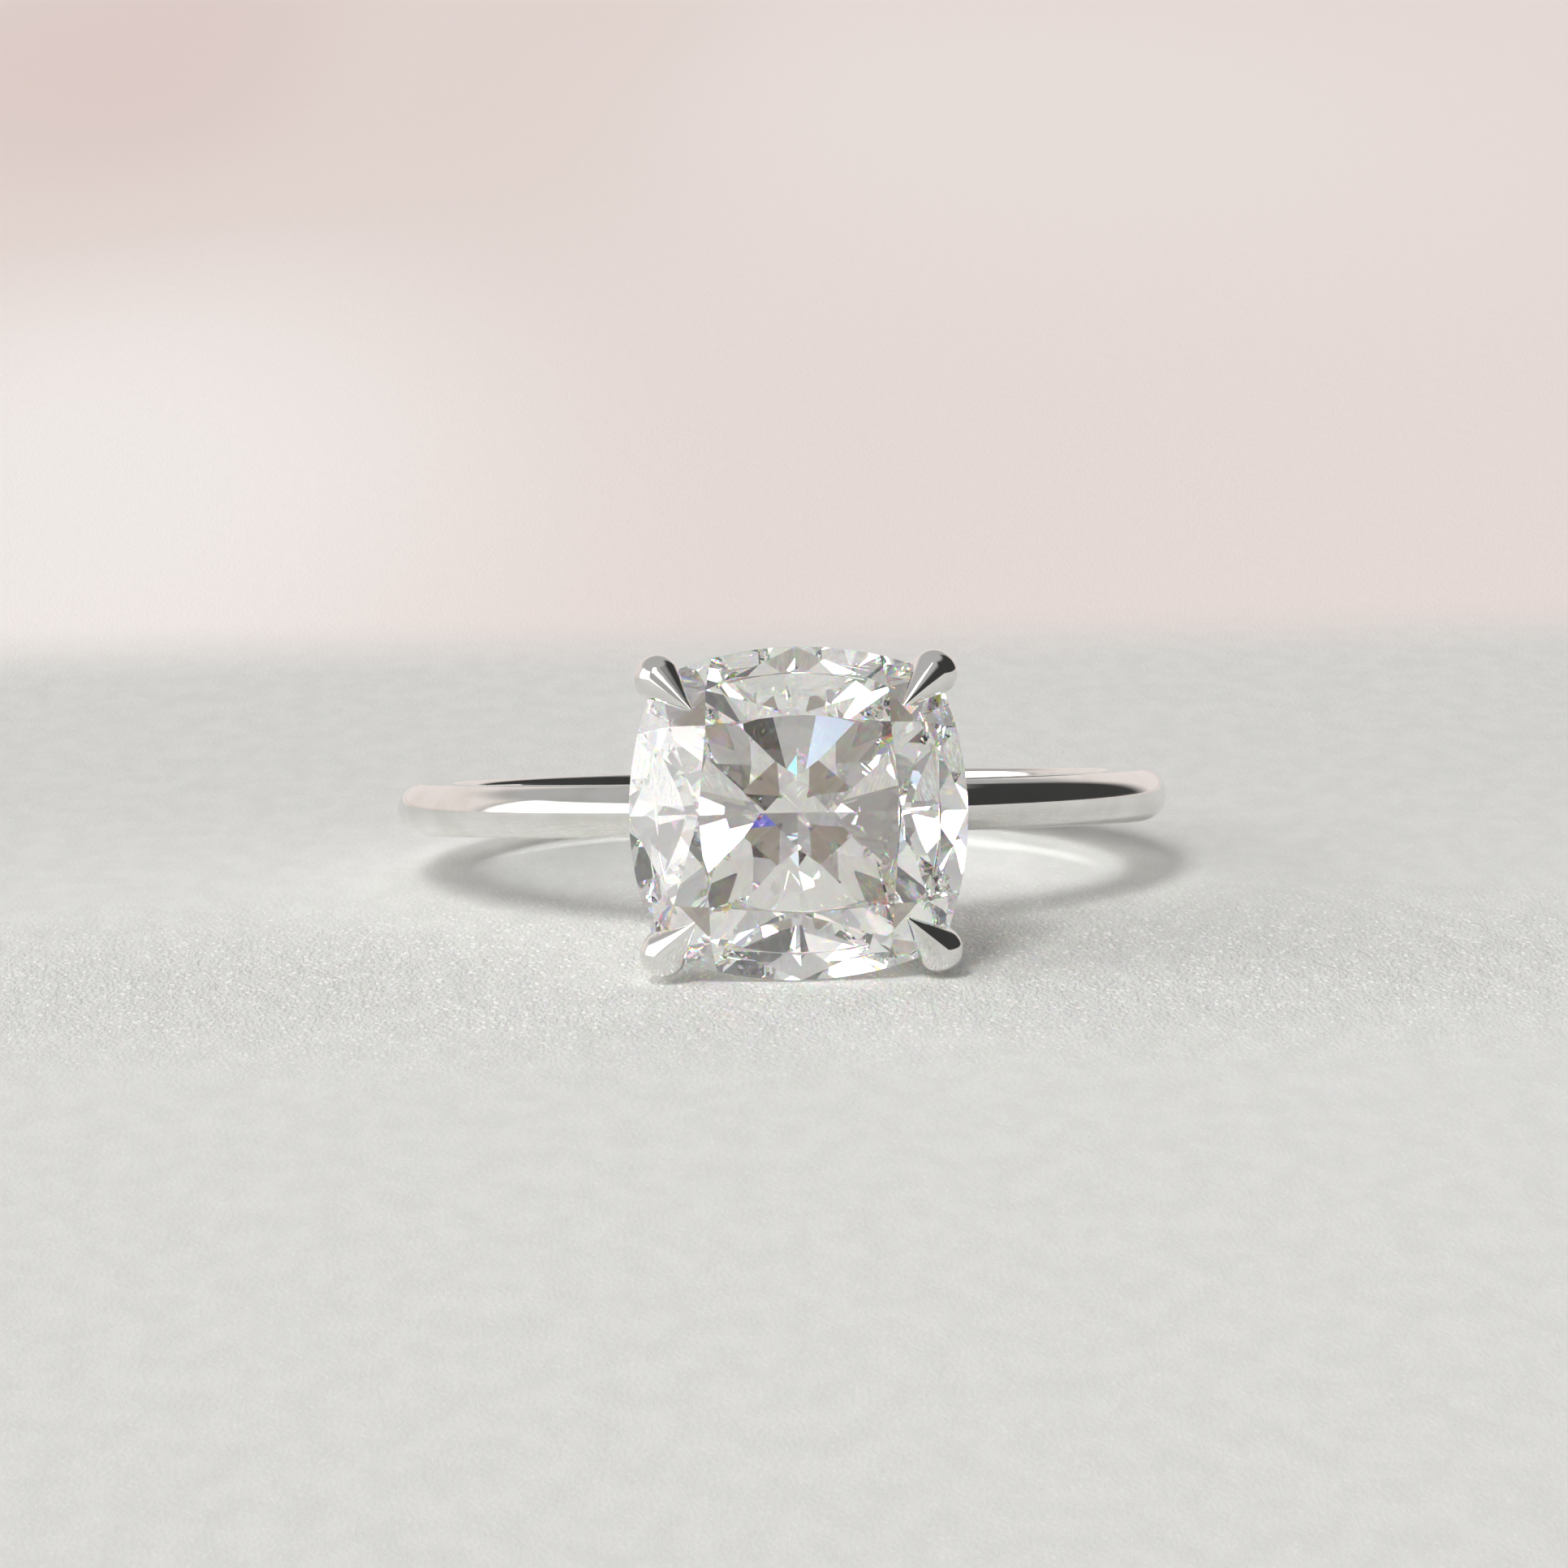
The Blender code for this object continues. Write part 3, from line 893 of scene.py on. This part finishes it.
    def build(
        self, corner: Corner, pose: LyingPose, finish: bpy.types.Material
    ) -> bpy.types.Object:
        """Builds one claw.

        Args:
            corner: Where the claw stands.
            pose: Where the ring lies.
            finish: Its metal.

        Returns:
            The finished piece.
        """
        bm = carve(self.wire(corner), [self.stone.cut(TOUCH_GAP)], (self.teardrop(corner),))
        piece = lay_down(f"{corner.node}_wire", bm, pose.head(), WIRE_CREASE)
        return dress(piece, finish, corner.node)


@dataclass
class HeadBase:
    """The seat of the head: a disc saddled over the band, notched for the claws."""

    band: Band
    diameter: float = 3.5
    rise: float = 0.4
    saddle: float = 0.3
    rim_round: float = 0.32
    underside_round: float = 0.28
    round_steps: int = 10
    sides: int = 192

    @property
    def top(self) -> float:
        """The height of its top face."""
        return self.band.crown_line + self.rise

    def build(self, claw: Claw, pose: LyingPose, finish: bpy.types.Material) -> bpy.types.Object:
        """Builds the seat.

        Args:
            claw: The claws that it is notched for.
            pose: Where the ring lies.
            finish: Its metal.

        Returns:
            The finished piece.
        """
        bottom = self.band.crown_line - self.saddle
        disc = post(self.diameter / 2, bottom, self.top, self.sides)
        round_rim(disc, self.top, self.rim_round, self.round_steps)
        round_rim(disc, bottom, self.underside_round, self.round_steps)
        saddle = turned(self.band.section(TOUCH_GAP), self.band.turn_steps)
        saddle.transform(Matrix.Rotation(-math.pi / 2, 4, "X"))
        radius = self.band.peg_hole / 2 + TOUCH_GAP
        hole = post(radius, bottom - CUT_THROUGH, self.top + CUT_THROUGH)
        notches = [claw.wire(corner, TOUCH_GAP) for corner in Corner]
        bm = carve(disc, [saddle, hole, *notches])
        piece = lay_down("head_seat", bm, pose.head(), ROUND_CREASE)
        return dress(piece, finish, "head_base")


@dataclass
class Peg:
    """The post through the head base and the band, rounded at its upper end."""

    seat: HeadBase
    diameter: float = 0.7
    rise: float = 0.1
    recess: float = 0.15

    def build(self, pose: LyingPose, finish: bpy.types.Material) -> bpy.types.Object:
        """Builds the post.

        Args:
            pose: Where the ring lies.
            finish: Its metal.

        Returns:
            The finished piece.
        """
        top = self.seat.top + self.rise
        bottom = self.seat.band.hole / 2 + self.recess
        bm = post(self.diameter / 2, bottom, top)
        round_rim(bm, top, self.rise)
        round_rim(bm, bottom, self.rise / 2)
        piece = lay_down("peg_post", bm, pose.head(), ROUND_CREASE)
        return dress(piece, finish, "head_peg")


@dataclass
class GalleryRail:
    """A cushion-shaped ring of round wire under the girdle, let into the claws."""

    claw: Claw
    wire: float = 0.6
    drop: float = 1.9
    bite: float = 0.2
    sides: int = 48
    steps: int = 256

    def build(self, pose: LyingPose, finish: bpy.types.Material) -> bpy.types.Object:
        """Builds the rail.

        Args:
            pose: Where the ring lies.
            finish: Its metal.

        Returns:
            The finished piece.
        """
        stone = self.claw.stone
        height = stone.seat - self.drop
        corner = self.claw.inner_face(height) + self.bite - self.wire / 2
        share = corner / stone.corner_reach
        stations = []
        for step in range(self.steps):
            point = stone.outline(math.tau * step / self.steps) * share
            point.z = height
            stations.append((point, self.wire / 2))
        rail = swept_wire(stations, Vector((0, 0, 1)), self.sides, closed=True)
        notches = [self.claw.wire(corner, TOUCH_GAP) for corner in Corner]
        piece = lay_down("gallery_wire", carve(rail, notches), pose.head(), WIRE_CREASE)
        return dress(piece, finish, "gallery_rail")


def dress(
    piece: bpy.types.Object, finish: bpy.types.Material, node: str
) -> bpy.types.Object:
    """Gives a piece its finish and its place in the frame.

    Args:
        piece: The piece.
        finish: Its material.
        node: The frame's node that it stands for.

    Returns:
        The same piece.
    """
    piece.data.materials.clear()
    piece.data.materials.append(finish)
    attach(piece, BODY)
    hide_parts(node)
    LOG.info("%s stands for %s, %d faces", piece.name, node, len(piece.data.polygons))
    return piece


@dataclass(frozen=True)
class SoftPatch:
    """A soft-edged oval of colour on the tabletop, in metres."""

    centre: tuple[float, float]
    reach: tuple[float, float]
    colour: tuple = (1.0, 1.0, 1.0, 1.0)
    heart: float = 0.15

    def mask(self, graph: Graph, place: bpy.types.NodeSocket) -> bpy.types.NodeSocket:
        """Works out the oval's share of a place.

        Args:
            graph: The tabletop's graph.
            place: The place on the tabletop.

        Returns:
            The mask, 1 in the oval's heart and 0 from its reach outward.
        """
        scale = (1 / self.reach[0], 1 / self.reach[1], 0.0)
        offset = (-self.centre[0] * scale[0], -self.centre[1] * scale[1], 0.0)
        inputs = {"Vector": place, "Location": offset, "Scale": scale}
        moved = graph.add("ShaderNodeMapping", inputs).outputs["Vector"]
        length = graph.add("ShaderNodeVectorMath", {0: moved}, operation="LENGTH")
        return graph.ramp(length.outputs["Value"], self.heart, 1.0, (1.0, 0.0))


@dataclass
class Tabletop:
    """The pale felt that the ring lies on, giving way to a blush pink cloth far behind it."""

    half_size: float = 3.0
    felt: tuple = (0.81, 0.82, 0.80, 1.0)
    # darker felt for random mottling of the tufts, and for painted shade in the gaps between fibres
    felt_mottle_and_gap_shade: tuple = (0.66, 0.67, 0.65, 1.0)
    # painted shade: the felt is multiplied darker from just in front of the ring to behind it
    felt_painted_shade: tuple = (0.90, 0.90, 0.905, 1.0)
    painted_shade_from: float = -0.004
    painted_shade_to: float = 0.022
    # painted highlight: near-white sparkle on the tips of fibres, standing in for light glinting
    # off them
    painted_sparkle_colour: tuple = (1.0, 1.0, 0.99, 1.0)
    fibre_width: float = 0.00011
    fibre_detail: float = 5.0
    fibre_gaps: tuple[float, float] = (0.52, 0.36)
    gap_shade_depth: float = 0.35
    sparkle_spacing: float = 0.00021
    sparkle_edge: tuple[float, float] = (0.34, 0.14)
    nap: float = 0.38
    tuft_width: float = 0.0008
    tuft_detail: float = 4.0
    tuft_edge: tuple[float, float] = (0.30, 0.70)
    tuft_depth: float = 0.35
    tuft_height: float = 1.6
    relief: float = 7e-5
    roughness: tuple[float, float] = (0.85, 1.0)
    sheen: float = 0.2
    crisp_everywhere: float = 0.16
    crisp_by_ring: SoftPatch = SoftPatch((0.0, -0.011), (0.050, 0.015))
    blush: tuple = (0.885, 0.785, 0.755, 1.0)
    fade_from: float = 0.039
    fade_to: float = 0.054
    patches: tuple[SoftPatch, ...] = (
        SoftPatch((-0.023, 0.085), (0.024, 0.120), (1.0, 0.95, 0.925, 1.0)),
        SoftPatch((-0.030, 0.300), (0.030, 0.170), (0.80, 0.65, 0.615, 1.0)),
        SoftPatch((-0.006, 0.290), (0.022, 0.160), (0.84, 0.72, 0.69, 1.0)),
        SoftPatch((0.022, 0.240), (0.034, 0.140), (0.91, 0.82, 0.79, 1.0)),
    )

    def material(self) -> bpy.types.Material:
        """Builds the cloth.

        Returns:
            The material.
        """
        material, graph = new_material("pale_felt")
        place = graph.add("ShaderNodeTexCoord").outputs["Object"]
        along = graph.add("ShaderNodeSeparateXYZ", {"Vector": place}).outputs["Y"]
        combing = {"Vector": place, "Scale": (1.0, self.nap, 1.0)}
        combed = graph.add("ShaderNodeMapping", combing).outputs["Vector"]
        fibres = graph.noise(combed, 1 / self.fibre_width, self.fibre_detail)
        tufts = graph.noise(combed, 1 / self.tuft_width, self.tuft_detail)
        by_ring = self.crisp_by_ring.mask(graph, place)
        crisp = graph.maths("ADD", self.crisp_everywhere, by_ring)
        near = self.felt_colour(graph, combed, fibres, tufts, crisp)
        # painted shade: darkens the felt towards the back, behind the ring
        shade = graph.add("ShaderNodeMix", data_type="RGBA", blend_type="MULTIPLY")
        graph.tree.links.new(graph.ramp(along, self.painted_shade_from, self.painted_shade_to), shade.inputs[0])
        graph.tree.links.new(near, shade.inputs[6])
        shade.inputs[7].default_value = self.felt_painted_shade
        far = self.blush
        for patch in self.patches:
            far = graph.blend(patch.mask(graph, place), far, patch.colour)
        share = graph.ramp(along, self.fade_from, self.fade_to)
        colour = graph.blend(share, shade.outputs[2], far)
        height = graph.maths("ADD", fibres, graph.maths("MULTIPLY", tufts, self.tuft_height))
        surface = {"Height": height, "Strength": crisp, "Distance": self.relief}
        bump = graph.add("ShaderNodeBump", surface)
        shader = graph.add("ShaderNodeBsdfPrincipled", {
            "Base Color": colour, "Roughness": graph.ramp(tufts, *self.tuft_edge, self.roughness),
            "Sheen Weight": self.sheen, "Normal": bump.outputs["Normal"],
        })
        graph.add("ShaderNodeOutputMaterial", {"Surface": shader.outputs["BSDF"]})
        return material

    def felt_colour(
        self, graph: Graph, combed: bpy.types.NodeSocket, fibres: bpy.types.NodeSocket,
        tufts: bpy.types.NodeSocket, crisp: bpy.types.NodeSocket,
    ) -> bpy.types.NodeSocket:
        """Colours the felt: cloudy tufts, painted shade in the gaps between fibres and painted
        glints on the tips of fibres.

        Args:
            graph: The felt's graph.
            combed: Coordinates stretched along the nap.
            fibres: The fibres' noise.
            tufts: The tufts' noise.
            crisp: How clearly single fibres show.

        Returns:
            The colour.
        """
        spots = {"Vector": combed, "Scale": 1 / self.sparkle_spacing}
        tips = graph.add("ShaderNodeTexVoronoi", spots).outputs["Distance"]
        cloud = graph.ramp(tufts, *self.tuft_edge, (0.0, self.tuft_depth))
        # painted shade: darkens the gaps between fibres
        between = graph.ramp(fibres, *self.fibre_gaps, (0.0, self.gap_shade_depth))
        dark = graph.maths("ADD", cloud, graph.maths("MULTIPLY", crisp, between))
        # painted highlight: white sparkle where the Voronoi points fall
        painted_sparkle = graph.maths("MULTIPLY", crisp, graph.ramp(tips, *self.sparkle_edge))
        return graph.blend(painted_sparkle, graph.blend(dark, self.felt, self.felt_mottle_and_gap_shade), self.painted_sparkle_colour)

    def build(self) -> bpy.types.Object:
        """Builds the tabletop.

        Returns:
            The tabletop.
        """
        bm = bmesh.new()
        bmesh.ops.create_grid(bm, x_segments=2, y_segments=2, size=self.half_size)
        floor = lay_down("felt_tabletop", bm, Matrix.Identity(4), 0)
        floor.data.materials.append(self.material())
        return floor


@dataclass(frozen=True)
class Softbox:
    """A lit panel of the studio, as seen from the ring, in degrees and relative brightness.

    Azimuth 0 is the camera's side, and it grows towards the ring's left.
    """

    azimuth: float
    elevation: float
    half_width: float
    half_height: float
    colour: tuple
    soft: float = 4.0

    def mask(
        self, graph: Graph, azimuth: bpy.types.NodeSocket, elevation: bpy.types.NodeSocket
    ) -> bpy.types.NodeSocket:
        """Works out the share of a direction that the panel covers.

        Args:
            graph: The world's graph.
            azimuth: The direction's azimuth, in degrees.
            elevation: The direction's elevation, in degrees.

        Returns:
            The mask, from 0 to 1.
        """
        turn = graph.maths("WRAP", graph.maths("SUBTRACT", azimuth, self.azimuth), 180.0, -180.0)
        aside = graph.maths("ABSOLUTE", turn)
        above = graph.maths("ABSOLUTE", graph.maths("SUBTRACT", elevation, self.elevation))
        shares = []
        for away, half in ((aside, self.half_width), (above, self.half_height)):
            shares.append(graph.ramp(away, half - self.soft, half + self.soft, (1.0, 0.0)))
        return graph.maths("MULTIPLY", *shares)


@dataclass
class Studio:
    """The room around the ring: pale walls, a bright window, a dark corner and soft panels."""

    ceiling: tuple = (0.48, 0.475, 0.47, 1.0)
    wall: tuple = (0.42, 0.41, 0.405, 1.0)
    backdrop: tuple = (0.80, 0.72, 0.69, 1.0)
    wall_top: float = 5.0
    ceiling_from: float = 60.0
    light_map: int = 2048
    panels: tuple[Softbox, ...] = (
        Softbox(180, 12, 75, 20, (0.85, 0.78, 0.75, 1.0), 8.0),
        Softbox(72, 16, 28, 19, (2.6, 2.57, 2.54, 1.0)),
        Softbox(-80, 28, 58, 32, (0.05, 0.05, 0.05, 1.0), 8.0),
        Softbox(0, 10, 12, 13, (0.30, 0.26, 0.22, 1.0), 3.0),
        Softbox(21, 46, 11, 11, (16.5, 16.4, 16.2, 1.0), 3.0),
    )

    def build(self) -> None:
        """Builds the world's light from a direction's azimuth and elevation."""
        world = bpy.data.worlds.new("studio")
        world.use_nodes = True
        bpy.context.scene.world = world
        graph = Graph(world.node_tree)
        way = graph.add("ShaderNodeTexCoord").outputs["Generated"]
        parts = graph.add("ShaderNodeSeparateXYZ", {"Vector": way}).outputs
        flipped = [graph.maths("MULTIPLY", parts[axis], -1.0) for axis in ("X", "Y")]
        degrees = math.degrees(1)
        azimuth = graph.maths("MULTIPLY", graph.maths("ARCTAN2", *flipped), degrees)
        elevation = graph.maths("MULTIPLY", graph.maths("ARCSINE", parts["Z"]), degrees)
        height = graph.ramp(elevation, self.wall_top, self.ceiling_from)
        colour = graph.blend(height, self.wall, self.ceiling)
        for panel in self.panels:
            colour = graph.blend(panel.mask(graph, azimuth, elevation), colour, panel.colour)
        seen = graph.add("ShaderNodeLightPath").outputs["Is Camera Ray"]
        colour = graph.blend(seen, colour, self.backdrop)
        light = graph.add("ShaderNodeBackground", {"Color": colour})
        graph.add("ShaderNodeOutputWorld", {"Surface": light.outputs["Background"]})
        world.cycles.sampling_method = "MANUAL"
        world.cycles.sample_map_resolution = self.light_map
        LOG.info("studio has %d panels", len(self.panels))


@dataclass
class Viewpoint:
    """A long lens, a little above the stone, turned towards its table."""

    focal: float = 198.8
    sensor: float = 36.0
    distance: float = 209.4
    azimuth: float = -1.55
    elevation: float = 9.06
    roll: float = -0.94
    stone_right: float = 0.35
    stone_down: float = 0.71
    nearest: float = 0.01
    farthest: float = 20.0

    def build(self, pose: LyingPose, stone: Cushion) -> bpy.types.Object:
        """Places the camera.

        Args:
            pose: Where the ring lies.
            stone: The stone that it looks at.

        Returns:
            The camera.
        """
        target = pose.head() @ Vector((0, 0, stone.seat + stone.girdle / 2))
        turn, lift = math.radians(self.azimuth), math.radians(self.elevation)
        back = Vector((
            math.sin(turn) * math.cos(lift), -math.cos(turn) * math.cos(lift), math.sin(lift),
        ))
        aim = (-back).to_track_quat("-Z", "Y") @ Quaternion((0, 0, 1), math.radians(self.roll))
        right, up = aim @ Vector((1, 0, 0)), aim @ Vector((0, 1, 0))
        data = bpy.data.cameras.new("viewpoint")
        data.lens = self.focal
        data.sensor_width = self.sensor
        data.clip_start = self.nearest
        data.clip_end = self.farthest
        camera = bpy.data.objects.new("viewpoint", data)
        camera.rotation_mode = "QUATERNION"
        camera.rotation_quaternion = aim
        aside = up * self.stone_down - right * self.stone_right
        camera.location = target + (back * self.distance + aside) * MM
        bpy.context.scene.collection.objects.link(camera)
        bpy.context.scene.camera = camera
        return camera


def set_light_paths() -> None:
    """Lets rays bounce inside the stone until they come out, and shows colours as they are."""
    cycles = bpy.context.scene.cycles
    cycles.max_bounces = 40
    cycles.transmission_bounces = 36
    cycles.glossy_bounces = 36
    cycles.blur_glossy = 0.0
    bpy.context.scene.view_settings.view_transform = "Standard"


def write_sizes() -> None:
    """Brings the scene's matrices up to date.
    """
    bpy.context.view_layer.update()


def main() -> None:
    """Builds the ring piece by piece, then its stage."""
    logging.basicConfig(level=logging.INFO, format="%(name)s: %(message)s")
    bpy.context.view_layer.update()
    pose = LyingPose.from_record(frame["record"])
    gold = PolishedWhiteGold().material()
    band = Band()
    stone = Cushion()
    claw = Claw(stone, band.crown_line + CLAW_FOOT_RISE)
    seat = HeadBase(band)
    band.build(pose, gold)
    seat.build(claw, pose, gold)
    Peg(seat).build(pose, gold)
    GalleryRail(claw).build(pose, gold)
    for corner in Corner:
        claw.build(corner, pose, gold)
    stone.build(pose, Diamond().material())
    Tabletop().build()
    Studio().build()
    Viewpoint().build(pose, stone)
    set_light_paths()
    write_sizes()


if __name__ == "__main__":
    main()
